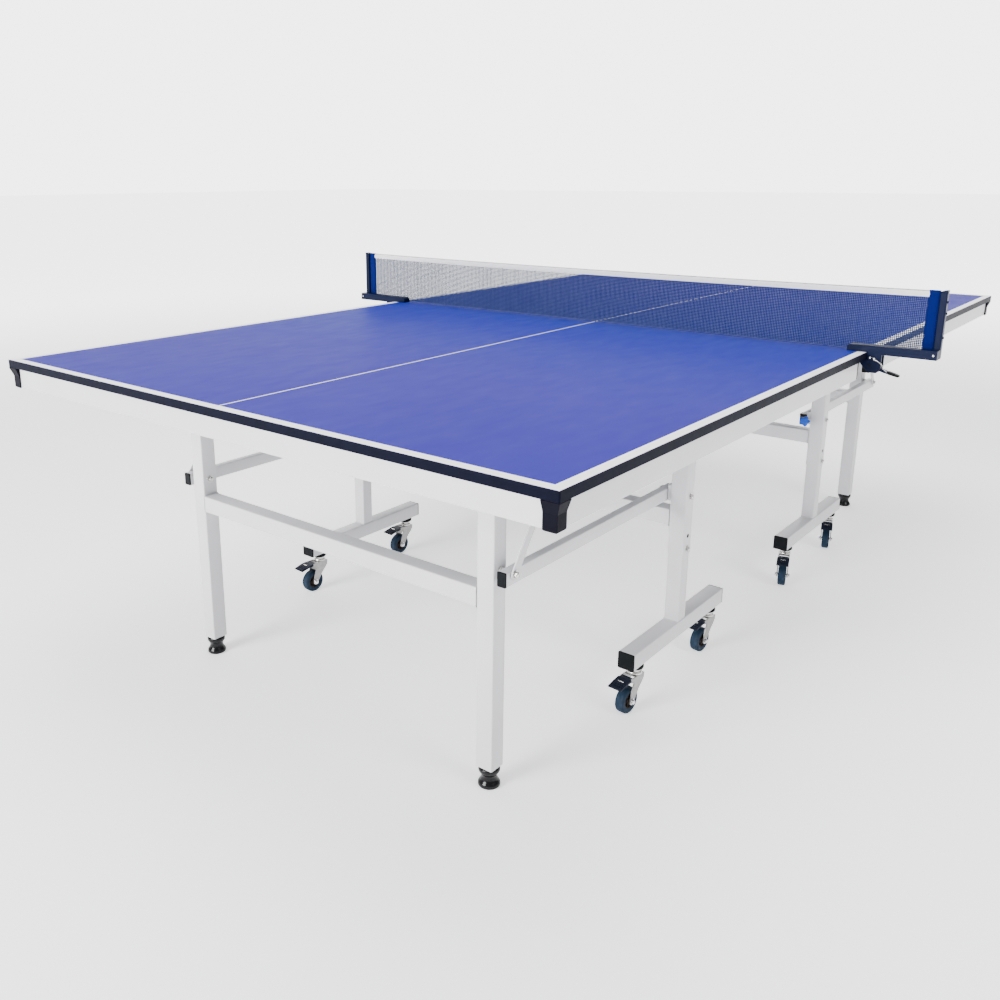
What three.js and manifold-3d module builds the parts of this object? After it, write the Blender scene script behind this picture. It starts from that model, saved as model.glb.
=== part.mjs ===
// Folding table tennis table: two separate halves with parallelogram legs, and a clamped net.
// Millimetres, +Z up. The origin is on the floor at the middle of the table, and +X runs along its length.
// Half a covers -X. Half b is the same unit turned half a turn about Z. Left and right are those of the
// player at that end, so in a half's own frame, where the net is at +X, left is +Y.
import * as THREE from 'three';
import { mergeVertices } from 'three/addons/utils/BufferGeometryUtils.js';
import Module from 'manifold-3d';

// Table top
const LENGTH = 2740;
const WIDTH = 1525;
const TOP_Z = 760;
const BOARD = 18;
const HALF_GAP = 3;            // from the net line to each half's board
const CLEAR = 0.3;             // gap left between pieces that touch
const LAP = 1;                 // joined blocks and cutters run this far past the face they meet
const END_X = LENGTH / 2;
const SIDE_Y = WIDTH / 2;
const BOARD_Z = TOP_Z - BOARD;

// Frame under the top
const RAIL_Z = [695, BOARD_Z - CLEAR];
const RAIL_INSET = 10;
const RAIL_THICK = 20;
const RAIL_WALL = 1.5;
const RAIL_NET_X = -58;        // the side rails stop short of the net clamps
const FLANGE_Z = [722, BOARD_Z - CLEAR];
const PLATE = 4;               // welded pivot plates and stay rails
const PLATE_GAP = 1;
const PLATE_Z = [700, BOARD_Z - CLEAR];
const PLATE_REACH = 30;        // from a pivot to the edge of its plate
const CROSS_RAIL_X = [-1172, -1147];
const OUTRIGGER_HALF = 15;

// Pivots of the folding parallelogram, for half a
const PIVOT_Z = 716;
const LINK_Z = 465;
const PIVOT_LEAD = 54;         // the pivots sit this far toward the net from their legs
const WHEEL_LEG = { x: -454, y: 514.5 };
const END_LEG = { x: -1079, y: 434.5 };

// Square tube legs
const TUBE = 40;
const TUBE_WALL = 1.5;
const LEG_TOP_Z = 730;
const STUB_Z = [696, LEG_TOP_Z];
const STUB_OVER = 20;          // from a pivot to the end of its stub
const CROSSBAR_Z = [385, 425];
const FOOT_HEIGHT = 44;
const STEM = { r: 5, length: 32, hole: 5.4, endPlate: 4 };
const SLEEVE_Z = 318;
const SLEEVE_WALL = 1.2;
const INNER_TUBE = 37;
const INNER_TUBE_WALL = 2;
const INNER_TUBE_TOP = 520;
const BASE_BAR = { z0: 112, z1: 152, length: 456 };

// Link bars and flat stays
const LINK = { y0: 464, y1: 484, below: 22, above: 8, over: 20, netOver: 18 };
const LUG = { fromX: 6, below: 22, above: 18 };
const STAY = { y0: 485.5, y1: 488.5, width: 20, length: 306.4, lean: 35 };
const STAY_SLOT = { x0: -912, x1: -463, z0: 710, z1: 722 };

// Casters
const CASTER_REACH = 188;      // from the wheel leg to each caster, along the base bar
const WHEEL_R = 31;
const WHEEL_HALF = 11;
const AXLE_R = 4.5;
const TRAIL = 28;
const FORK_Y = [13, 15.5];
const CROWN_Z = [79, 88];
const DOME = { r: 20, z0: 104 };
const COLLAR = { r: 14, z0: 87 };
const HUB_R = 8;
const PEDAL_HINGE = { x: -27, z: 84, r: 3.6, half: 12.6 };
const PEDAL_HALF = 17;
const CASTER_YAW = { a: -5, b: -163 };

// Net
const NET = { halfLength: 895, bottom: 762.3, top: 897, tapeTop: 912.5 };
const POST_Y = [899, 915];
const POST_Z = [757, 915];
const CLAMP_X = [-33, -6];
const ARM_Y = 716;
const ARM_END_Z = [757, 779];
const CHEEK = 7;               // thickness of each clamp cheek
const POST_HALF = 9;

// Star knob
const KNOB = { lobes: 5, r: 13.5, lobe: 2.5, from: 26, to: 42, shankR: 4, z: 460 };

// Colour, roughness and metalness
const COLOURS = {
  top: ['#5a5cbc', 0.45, 0],
  band: ['#1f2340', 0.5, 0],
  paint: ['#dcdcdf', 0.4, 0.1],
  zinc: ['#a8a9ab', 0.35, 0.9],
  tyre: ['#3b4457', 0.7, 0],
  pedal: ['#22273a', 0.45, 0],
  foot: ['#101012', 0.2, 0],
  knob: ['#2b5fc4', 0.4, 0],
  mesh: ['#56688c', 0.9, 0],
  tape: ['#f0f0f0', 0.8, 0],
};

const wasm = await Module();
wasm.setup();

// ---- Small solid-modelling kit --------------------------------------------------------------

function solid(geometry) {
  const bare = geometry.clone();
  bare.deleteAttribute('normal');
  bare.deleteAttribute('uv');
  const merged = mergeVertices(bare, 1e-4);
  return new wasm.Manifold(new wasm.Mesh({
    numProp: 3,
    vertProperties: Float32Array.from(merged.attributes.position.array),
    triVerts: Uint32Array.from(merged.index.array),
  }));
}

function join(pieces) {
  return pieces.reduce((whole, piece) => whole.add(piece));
}

function block([x0, x1], [y0, y1], [z0, z1]) {
  const geometry = new THREE.BoxGeometry(x1 - x0, y1 - y0, z1 - z0);
  geometry.translate((x0 + x1) / 2, (y0 + y1) / 2, (z0 + z1) / 2);
  return solid(geometry);
}

// A cylinder of radius r from one point to another along the named axis.
function rod(axis, r, [from, to], [u, v], sides = 20) {
  const geometry = new THREE.CylinderGeometry(r, r, to - from, sides);
  const middle = (from + to) / 2;
  if (axis === 'x') {
    geometry.rotateZ(-Math.PI / 2).translate(middle, u, v);
  } else if (axis === 'y') {
    geometry.translate(u, middle, v);
  } else {
    geometry.rotateX(Math.PI / 2).translate(u, v, middle);
  }
  return solid(geometry);
}

const EXTRUSION = { bevelEnabled: false, curveSegments: 6 };

// An outline in X and Z, pushed along Y from y0 to y1.
function slabXZ(shape, [y0, y1]) {
  const geometry = new THREE.ExtrudeGeometry(shape, { ...EXTRUSION, depth: y1 - y0 });
  geometry.rotateX(Math.PI / 2).translate(0, y1, 0);
  return solid(geometry);
}

// An outline in Y and Z, pushed along X from x0 to x1.
function slabYZ(shape, [x0, x1]) {
  const geometry = new THREE.ExtrudeGeometry(shape, { ...EXTRUSION, depth: x1 - x0 });
  geometry.rotateX(Math.PI / 2).rotateZ(Math.PI / 2).translate(x0, 0, 0);
  return solid(geometry);
}

// A solid of revolution about Z from [radius, z] points that start and end on the axis or close up.
function turned(points, segments = 24) {
  const profile = points.map(([r, z]) => new THREE.Vector2(r, z));
  return solid(new THREE.LatheGeometry(profile, segments).rotateX(Math.PI / 2));
}

function outline(points) {
  return new THREE.Shape(points.map(([u, v]) => new THREE.Vector2(u, v)));
}

// The strip of Y that lies on one side of the table: side is 1 for left and -1 for right.
function strip(side, y0, y1) {
  return side > 0 ? [y0, y1] : [-y1, -y0];
}

function shrink([low, high], wall) {
  return [low + wall, high - wall];
}

function mesh(name, shape, colour, parent) {
  const { vertProperties, triVerts } = shape.getMesh();
  const geometry = new THREE.BufferGeometry();
  geometry.setAttribute('position', new THREE.BufferAttribute(vertProperties, 3));
  geometry.setIndex(new THREE.BufferAttribute(triVerts, 1));
  geometry.computeVertexNormals();
  const [color, roughness, metalness] = COLOURS[colour];
  const piece = new THREE.Mesh(geometry, new THREE.MeshStandardMaterial({ color, roughness, metalness }));
  piece.name = name;
  parent.add(piece);
  return piece;
}

const SIDES = { left: 1, right: -1 };

// ---- Top, its frame and the corner caps ------------------------------------------------------

function tableTop() {
  return block([-END_X, -HALF_GAP], [-SIDE_Y, SIDE_Y], [BOARD_Z, TOP_Z]);
}

// One welded frame: a hollow U-shaped apron, a cross rail, the pivot plates and the slotted stay rails.
function underFrame() {
  const outX = -END_X + RAIL_INSET;
  const outY = SIDE_Y - RAIL_INSET;
  const railY = outY - RAIL_THICK;
  const outer = [block([outX, outX + RAIL_THICK], [-outY, outY], RAIL_Z)];
  const inner = [block(shrink([outX, outX + RAIL_THICK], RAIL_WALL), shrink([-outY, outY], RAIL_WALL),
    shrink(RAIL_Z, RAIL_WALL))];
  const plates = [block(CROSS_RAIL_X, [-railY - LAP, railY + LAP], FLANGE_Z)];
  for (const side of Object.values(SIDES)) {
    const rail = strip(side, railY, outY);
    outer.push(block([outX, RAIL_NET_X], rail, RAIL_Z));
    inner.push(block([outX + RAIL_WALL, RAIL_NET_X + LAP], shrink(rail, RAIL_WALL),
      shrink(RAIL_Z, RAIL_WALL)));
    plates.push(...endLegPlates(side), ...wheelLegPlates(side, railY));
  }
  return join(outer).subtract(join(inner)).add(join(plates));
}

function endLegPlates(side) {
  const inside = END_LEG.y - TUBE / 2 - PLATE_GAP;
  const outside = END_LEG.y + TUBE / 2 + PLATE_GAP;
  const alongX = [CROSS_RAIL_X[1] - LAP, END_LEG.x + PIVOT_LEAD + PLATE_REACH];
  return [
    block(alongX, strip(side, inside - PLATE, inside), PLATE_Z),
    block(alongX, strip(side, outside, outside + PLATE), PLATE_Z),
  ];
}

// The inner plate runs back to the cross rail and has the stay's slot; the outer one meets the side rail.
function wheelLegPlates(side, railY) {
  const pivotX = WHEEL_LEG.x + PIVOT_LEAD;
  const inside = WHEEL_LEG.y - TUBE / 2 - PLATE_GAP;
  const outside = WHEEL_LEG.y + TUBE / 2 + PLATE_GAP;
  const inner = strip(side, inside - PLATE, inside);
  const stayRail = block([CROSS_RAIL_X[0], pivotX + PLATE_REACH], inner, PLATE_Z);
  const slot = block([STAY_SLOT.x0, STAY_SLOT.x1], strip(side, inside - PLATE - LAP, inside + LAP),
    [STAY_SLOT.z0, STAY_SLOT.z1]);
  const outrigger = [pivotX - OUTRIGGER_HALF, pivotX + OUTRIGGER_HALF];
  return [
    stayRail.subtract(slot),
    block([pivotX - PLATE_REACH, pivotX + PLATE_REACH], strip(side, outside, outside + PLATE), PLATE_Z),
    block(outrigger, strip(side, outside + PLATE - LAP, railY + LAP), FLANGE_Z),
  ];
}

// A cap that wraps the apron's corner and flares out to the edge of the top.
function cornerCap(side) {
  const wall = 3;
  const reach = 32;
  const flare = 20;
  const lip = 1;
  const bottom = 693;
  const top = BOARD_Z - CLEAR;
  const inset = RAIL_INSET - CLEAR - wall;
  const profile = (edge, inward) => outline([
    [edge + (inset + wall) * inward, bottom], [edge + inset * inward, bottom + wall],
    [edge + inset * inward, top - flare], [edge, top - lip], [edge, top],
    [edge + reach * inward, top], [edge + reach * inward, bottom],
  ]);
  const alongX = slabYZ(profile(side * SIDE_Y, -side), [-END_X, -END_X + reach]);
  const alongY = slabXZ(profile(-END_X, 1), strip(side, SIDE_Y - reach, SIDE_Y));
  const apron = block([-END_X + RAIL_INSET - CLEAR, 0], strip(side, 0, SIDE_Y - RAIL_INSET + CLEAR),
    [bottom - LAP, top + LAP]);
  return alongX.intersect(alongY).subtract(apron);
}

// ---- Legs ------------------------------------------------------------------------------------

// Two hollow legs joined by a hollow crossbar, each with a stub toward the net that holds its top pivot.
function endFrame() {
  const bottom = FOOT_HEIGHT + CLEAR;
  const alongX = [END_LEG.x - TUBE / 2, END_LEG.x + TUBE / 2];
  const outer = [block(alongX, [-END_LEG.y, END_LEG.y], CROSSBAR_Z)];
  const inner = [block(shrink(alongX, TUBE_WALL), [-END_LEG.y, END_LEG.y], shrink(CROSSBAR_Z, TUBE_WALL))];
  for (const side of Object.values(SIDES)) {
    const alongY = strip(side, END_LEG.y - TUBE / 2, END_LEG.y + TUBE / 2);
    outer.push(block(alongX, alongY, [bottom, LEG_TOP_Z]));
    outer.push(block([alongX[1] - LAP, END_LEG.x + PIVOT_LEAD + STUB_OVER], alongY, STUB_Z));
    inner.push(block(shrink(alongX, TUBE_WALL), shrink(alongY, TUBE_WALL),
      [bottom + STEM.endPlate, LEG_TOP_Z - TUBE_WALL]));
    inner.push(rod('z', STEM.hole, [bottom - LAP, bottom + STEM.endPlate + LAP],
      [END_LEG.x, side * END_LEG.y], 16));
  }
  return join(outer).subtract(join(inner));
}

// Waisted screw-in foot; its stem runs up inside the leg.
function levellingFoot(side) {
  const top = FOOT_HEIGHT;
  const body = turned([
    [0, 0], [20, 0], [22.5, 2], [23, 5], [22, 9], [18.5, 14], [16.5, 19], [17, 25], [20, 31],
    [22, 36], [22, 40], [19, top], [STEM.r, top], [STEM.r, top + STEM.length], [0, top + STEM.length],
  ]);
  return body.translate([END_LEG.x, side * END_LEG.y, 0]);
}

// Two upright sleeves and a crossbar: the part of each half that stays put when the top folds.
function wheelFrame() {
  const alongX = [WHEEL_LEG.x - TUBE / 2, WHEEL_LEG.x + TUBE / 2];
  const bore = [WHEEL_LEG.y - TUBE / 2 + SLEEVE_WALL, WHEEL_LEG.y + TUBE / 2 - SLEEVE_WALL];
  const outer = [block(alongX, [-WHEEL_LEG.y, WHEEL_LEG.y], CROSSBAR_Z)];
  const inner = [block(shrink(alongX, TUBE_WALL), [-WHEEL_LEG.y, WHEEL_LEG.y],
    shrink(CROSSBAR_Z, TUBE_WALL))];
  for (const side of Object.values(SIDES)) {
    const alongY = strip(side, WHEEL_LEG.y - TUBE / 2, WHEEL_LEG.y + TUBE / 2);
    const lug = strip(side, LINK.y1 + LAP, WHEEL_LEG.y - TUBE / 2 + LAP);
    outer.push(block(alongX, alongY, [SLEEVE_Z, LEG_TOP_Z]));
    outer.push(block([alongX[1] - LAP, WHEEL_LEG.x + PIVOT_LEAD + STUB_OVER], alongY, STUB_Z));
    outer.push(block([alongX[0] + LUG.fromX, alongX[1] - LAP], lug,
      [LINK_Z - LUG.below, LINK_Z + LUG.above]));
    inner.push(block(shrink(alongX, SLEEVE_WALL), strip(side, ...bore),
      [SLEEVE_Z - LAP, LEG_TOP_Z - TUBE_WALL]));
  }
  return join(outer).subtract(join(inner));
}

// The telescoping inner tube welded to the bar that carries two casters.
function wheelLeg(side) {
  const half = INNER_TUBE / 2;
  const alongX = [WHEEL_LEG.x - half, WHEEL_LEG.x + half];
  const alongY = strip(side, WHEEL_LEG.y - half, WHEEL_LEG.y + half);
  const barX = [WHEEL_LEG.x - BASE_BAR.length / 2, WHEEL_LEG.x + BASE_BAR.length / 2];
  const barY = strip(side, WHEEL_LEG.y - TUBE / 2, WHEEL_LEG.y + TUBE / 2);
  const barZ = [BASE_BAR.z0, BASE_BAR.z1];
  const outer = block(alongX, alongY, [BASE_BAR.z1 - LAP, INNER_TUBE_TOP]).add(block(barX, barY, barZ));
  const hollowTube = block(shrink(alongX, INNER_TUBE_WALL), shrink(alongY, INNER_TUBE_WALL),
    [BASE_BAR.z1 - 5 * LAP, INNER_TUBE_TOP + LAP]);
  const hollowBar = block([barX[0] - LAP, barX[1] + LAP], shrink(barY, TUBE_WALL), shrink(barZ, TUBE_WALL));
  return outer.subtract(hollowTube).subtract(hollowBar);
}

function linkBar(side) {
  const alongZ = [LINK_Z - LINK.below, LINK_Z + LINK.above];
  const alongX = [END_LEG.x - LINK.over, WHEEL_LEG.x + LINK.netOver];
  const alongY = strip(side, LINK.y0, LINK.y1);
  const outer = block(alongX, alongY, alongZ);
  const hollow = block([alongX[0] - LAP, alongX[1] + LAP], shrink(alongY, TUBE_WALL),
    shrink(alongZ, TUBE_WALL));
  return outer.subtract(hollow);
}

// A flat strip from the link's pivot on the end leg up to the slot under the top.
function stay(side) {
  const half = STAY.width / 2;
  const shape = new THREE.Shape();
  shape.absarc(0, 0, half, Math.PI, 2 * Math.PI, false);
  shape.absarc(0, STAY.length, half, 0, Math.PI, false);
  shape.closePath();
  const strap = slabXZ(shape, strip(side, STAY.y0, STAY.y1));
  return strap.rotate([0, STAY.lean, 0]).translate([END_LEG.x, 0, LINK_Z]);
}

// ---- Casters: built about the swivel's axis, with the wheel trailing toward -X ----------------

function casterFork() {
  const cheek = new THREE.Shape();
  cheek.moveTo(-34, CROWN_Z[1]);
  cheek.lineTo(-34, CROWN_Z[0]);
  cheek.lineTo(-22, CROWN_Z[0] - 4);
  cheek.lineTo(-TRAIL - HUB_R + 4, 52);
  cheek.lineTo(-TRAIL - HUB_R, WHEEL_R);
  cheek.absarc(-TRAIL, WHEEL_R, HUB_R, Math.PI, 1.9 * Math.PI, false);
  cheek.lineTo(-2, 56);
  cheek.lineTo(17, CROWN_Z[0]);
  cheek.lineTo(17, CROWN_Z[1]);
  cheek.closePath();
  return join([
    rod('z', DOME.r, [DOME.z0, BASE_BAR.z0 - CLEAR], [0, 0], 24),
    rod('z', COLLAR.r, [COLLAR.z0, DOME.z0 + LAP], [0, 0], 24),
    block([-16, 17], [-FORK_Y[1], FORK_Y[1]], CROWN_Z),
    slabXZ(cheek, FORK_Y),
    slabXZ(cheek, [-FORK_Y[1], -FORK_Y[0]]),
    rod('y', AXLE_R, [-FORK_Y[1] - 3, FORK_Y[1] + 3], [-TRAIL, WHEEL_R], 14),
  ]);
}

function casterWheel() {
  const bore = AXLE_R + CLEAR;
  const rim = WHEEL_R;
  const ring = turned([
    [bore, -WHEEL_HALF], [rim - 4, -WHEEL_HALF], [rim - 1, -WHEEL_HALF + 2.5], [rim, -WHEEL_HALF + 6],
    [rim, WHEEL_HALF - 6], [rim - 1, WHEEL_HALF - 2.5], [rim - 4, WHEEL_HALF], [bore, WHEEL_HALF],
    [bore, -WHEEL_HALF],
  ], 28);
  return ring.rotate([90, 0, 0]).translate([-TRAIL, 0, WHEEL_R]);
}

// Foot pedal hinged between the fork's cheeks, reaching back over the wheel.
function casterBrake() {
  const blade = outline([
    [-24, 81.5], [-24, 86.5], [-40, 87], [-62, 83], [-76, 80], [-77, 76], [-62, 77.5], [-40, 80.5],
  ]);
  const behindFork = block([-80, -35.5], [-PEDAL_HALF, PEDAL_HALF], [CROWN_Z[0] - HUB_R, CROWN_Z[1]]);
  const wide = slabXZ(blade, [-PEDAL_HALF, PEDAL_HALF]).intersect(behindFork);
  const between = [-PEDAL_HINGE.half, PEDAL_HINGE.half];
  const barrel = rod('y', PEDAL_HINGE.r, between, [PEDAL_HINGE.x, PEDAL_HINGE.z], 12);
  return join([wide, slabXZ(blade, between), barrel]);
}

function addCaster(name, x, y, yaw, parent) {
  const caster = new THREE.Group();
  caster.position.set(x, y, 0);
  caster.rotation.z = THREE.MathUtils.degToRad(yaw);
  mesh(`caster_fork_${name}`, casterFork(), 'zinc', caster);
  mesh(`caster_wheel_${name}`, casterWheel(), 'tyre', caster);
  mesh(`caster_brake_${name}`, casterBrake(), 'pedal', caster);
  parent.add(caster);
}

// ---- Star knob on the left wheel leg, facing the net -------------------------------------------

function starKnob() {
  const steps = 40;
  const star = Array.from({ length: steps }, (_, i) => {
    const angle = 2 * Math.PI * i / steps;
    const r = KNOB.r + KNOB.lobe * Math.cos(KNOB.lobes * angle);
    return [r * Math.cos(angle), r * Math.sin(angle)];
  });
  const faceX = WHEEL_LEG.x + TUBE / 2 - LAP;
  const head = slabYZ(outline(star), [faceX + KNOB.from, faceX + KNOB.to]);
  const shank = rod('x', KNOB.shankR, [faceX + CLEAR, faceX + KNOB.from + LAP], [0, 0], 12);
  const lugMiddle = (LINK.y1 + LAP + WHEEL_LEG.y - TUBE / 2) / 2;
  return head.add(shank).translate([0, lugMiddle, KNOB.z]);
}

// ---- Net, posts and clamps ---------------------------------------------------------------------

// Post, the arm that lies on the top and the two cheeks of the clamp's back.
function netPost(side) {
  const backY = [SIDE_Y + LAP, SIDE_Y + 34];
  const underBoard = BOARD_Z - CLEAR;
  const shoulder = POST_Z[1] - 5;
  const back = outline([
    [side * backY[0], 764], [side * backY[0], underBoard], [side * 746, underBoard], [side * 746, 737],
    [side * 768, 712], [side * (backY[1] - 8), 712], [side * backY[1], 722], [side * backY[1], 764],
  ]);
  const arm = outline([
    [side * ARM_Y, TOP_Z + CLEAR], [side * ARM_Y, 773], [side * (ARM_Y + 6), 776],
    [side * POST_Y[1], ARM_END_Z[1]], [side * POST_Y[1], ARM_END_Z[0]],
    [side * backY[1], ARM_END_Z[0]], [side * backY[0], TOP_Z + CLEAR],
  ]);
  const cap = outline([
    [side * POST_Y[0], shoulder - LAP], [side * POST_Y[0], shoulder], [side * (POST_Y[1] - 6), POST_Z[1]],
    [side * POST_Y[1], POST_Z[1]], [side * POST_Y[1], shoulder - LAP],
  ]);
  const postX = [-POST_HALF, POST_HALF];
  return join([
    block(postX, strip(side, ...POST_Y), [POST_Z[0], shoulder - LAP / 2]),
    slabYZ(cap, postX),
    slabYZ(arm, CLAMP_X),
    slabYZ(back, [CLAMP_X[0], CLAMP_X[0] + CHEEK]),
    slabYZ(back, [CLAMP_X[1] - CHEEK, CLAMP_X[1]]),
  ]);
}

// Lower jaw and thumb lever in one piece, turning between the clamp's cheeks.
function clampLever(side) {
  const profile = outline([
    [side * 736, BOARD_Z - CLEAR], [side * 758, BOARD_Z - CLEAR], [side * 766, 736], [side * 778, 733],
    [side * 800, 722], [side * 836, 712], [side * 838, 706], [side * 800, 714], [side * 776, 722],
    [side * 758, 732], [side * 736, 736],
  ]);
  return slabYZ(profile, shrink(CLAMP_X, CHEEK + 0.4));
}

// ---- Assembly ----------------------------------------------------------------------------------

function addHalf(half, parent) {
  mesh(`table_top_${half}`, tableTop(), 'top', parent);
  mesh(`under_frame_${half}`, underFrame(), 'paint', parent);
  mesh(`end_frame_${half}`, endFrame(), 'paint', parent);
  mesh(`wheel_frame_${half}`, wheelFrame(), 'paint', parent);
  mesh(`star_knob_${half}`, starKnob(), 'knob', parent);
  for (const [word, side] of Object.entries(SIDES)) {
    const name = `${half}_${word}`;
    mesh(`corner_cap_${name}`, cornerCap(side), 'band', parent);
    mesh(`levelling_foot_${name}`, levellingFoot(side), 'foot', parent);
    mesh(`wheel_leg_${name}`, wheelLeg(side), 'paint', parent);
    mesh(`link_bar_${name}`, linkBar(side), 'paint', parent);
    mesh(`stay_${name}`, stay(side), 'paint', parent);
    for (const [place, reach] of [['outer', -CASTER_REACH], ['inner', CASTER_REACH]]) {
      addCaster(`${name}_${place}`, WHEEL_LEG.x + reach, side * WHEEL_LEG.y, CASTER_YAW[half], parent);
    }
  }
}

const table = new THREE.Group();
const halfA = new THREE.Group();
const halfB = new THREE.Group();
halfB.rotation.z = Math.PI;
addHalf('a', halfA);
addHalf('b', halfB);
table.add(halfA, halfB);

const net = new THREE.Group();
const across = [-NET.halfLength, NET.halfLength];
mesh('net_mesh', block([-1, 1], across, [NET.bottom, NET.top]), 'mesh', net);
mesh('net_tape', block([-3, 3], across, [NET.top + CLEAR, NET.tapeTop]), 'tape', net);
for (const [word, side] of Object.entries(SIDES)) {
  mesh(`net_post_${word}`, netPost(side), 'band', net);
  mesh(`clamp_lever_${word}`, clampLever(side), 'pedal', net);
}
table.add(net);

export default table;
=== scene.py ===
"""Looks for the folding table tennis table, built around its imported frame.

Sizes are in millimetres and are scaled to metres when a piece is made. Half a covers -X and half b is
the same unit turned half a turn about Z, so every piece of a half is written in half a's own frame.
"""
import math

import bmesh
import bpy
from mathutils import Matrix, Vector
from mathutils.geometry import tessellate_polygon


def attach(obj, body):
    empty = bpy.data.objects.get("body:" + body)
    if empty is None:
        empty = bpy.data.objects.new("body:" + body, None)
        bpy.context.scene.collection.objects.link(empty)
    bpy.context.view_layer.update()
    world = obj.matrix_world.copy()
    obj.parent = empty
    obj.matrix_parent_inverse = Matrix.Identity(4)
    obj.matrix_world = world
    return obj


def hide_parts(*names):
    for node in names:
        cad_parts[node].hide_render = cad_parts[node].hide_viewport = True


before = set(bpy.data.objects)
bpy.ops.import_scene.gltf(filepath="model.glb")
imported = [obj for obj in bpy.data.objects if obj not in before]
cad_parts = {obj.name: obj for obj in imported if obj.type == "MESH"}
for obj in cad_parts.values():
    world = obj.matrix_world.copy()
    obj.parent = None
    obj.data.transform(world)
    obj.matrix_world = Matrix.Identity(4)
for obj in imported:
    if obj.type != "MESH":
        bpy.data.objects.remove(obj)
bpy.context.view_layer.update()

MM = 0.001
SIDES = {"left": 1, "right": -1}
HALVES = {"a": Matrix.Identity(4), "b": Matrix.Rotation(math.pi, 4, "Z")}

# ---- Driving sizes, the same as the frame's ---------------------------------------------------
END_X, SIDE_Y, TOP_Z, BOARD = 1370, 762.5, 760, 18
BOARD_Z = TOP_Z - BOARD
HALF_GAP = 3
RAIL_Z = (695, 741.7)
RAIL_INSET, RAIL_THICK, RAIL_NET_X = 10, 20, -58
PIVOT_Z, PIVOT_LEAD, LINK_Z = 716, 54, 465
WHEEL_X, WHEEL_Y = -454, 514.5
LEG_X, LEG_Y = -1079, 434.5
TUBE = 40
HALF_TUBE = TUBE / 2
CROSSBAR_Z = (385, 425)
STUB_Z, STUB_REACH = (696, 730), 20
LEG_TUBE_Z, HEAD_Z = (44.3, 730), 728
NECK_Z = 44
BEAD = 2.2
PLUG_FIT, PLUG_INSET = 0.2, 1.8
SLEEVE_Z, INNER_TUBE = 318, 37
BAR_Z = (112, 152)
BAR_X = (-682, -226)
LINK_Y, LINK_TUBE_Z = (464, 484), (443, 473)
STAY_Y = (485.5, 488.5)
STAY_LENGTH, STAY_LEAN, STAY_EYE = 306.4, 35, 10
SLOT_X, SLOT_Z = (-912, -463), (710, 722)
CASTER_REACH, TRAIL, WHEEL_R, WHEEL_HALF, AXLE_EYE = 188, 28, 31, 11, 8
CASTER_YAW = {"a": -5, "b": -163}
NET_HALF, NET_BOTTOM, TAPE_Z = 895, 762.5, (897.3, 912.5)
STRAND_PITCH, STRAND_HALF, STRAND_ROWS = 4.1, 0.78, 33
SAG = 4.5
POST_Y, POST_Z, POST_X = (899, 915), (757, 915), (-9, 9)
CLAMP_X = (-33, -6)
ARM_Y, ARM_Z = 716, (757, 779)
CLAMP_BACK_Y = (763.5, 796.5)


# ---- Camera ------------------------------------------------------------------------------------
def aim_camera():
    data = bpy.data.cameras.new("camera")
    data.lens, data.sensor_width = 34.34, 36
    data.shift_x, data.shift_y = 0.063, -0.066
    camera = bpy.data.objects.new("camera", data)
    bpy.context.scene.collection.objects.link(camera)
    bearing, pitch, roll = math.radians(40.01), math.radians(-15.19), math.radians(-0.24)
    level = math.cos(pitch)
    forward = Vector((level * math.cos(bearing), level * math.sin(bearing), math.sin(pitch)))
    turn = forward.to_track_quat("-Z", "Y").to_matrix().to_4x4() @ Matrix.Rotation(roll, 4, "Z")
    camera.matrix_world = Matrix.Translation((-2.41, -1.42, 1.172)) @ turn
    bpy.context.scene.camera = camera


aim_camera()


# ---- Materials ---------------------------------------------------------------------------------
def map_range(tree, value, given=(0, 1), wanted=(0, 1), smooth=False):
    """The output of a node that carries the given range to the wanted one."""
    node = tree.nodes.new("ShaderNodeMapRange")
    if smooth:
        node.interpolation_type = "SMOOTHSTEP"
    for socket, level in zip(("From Min", "From Max", "To Min", "To Max"), (*given, *wanted)):
        node.inputs[socket].default_value = level
    tree.links.new(value, node.inputs["Value"])
    return node.outputs["Result"]


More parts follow.
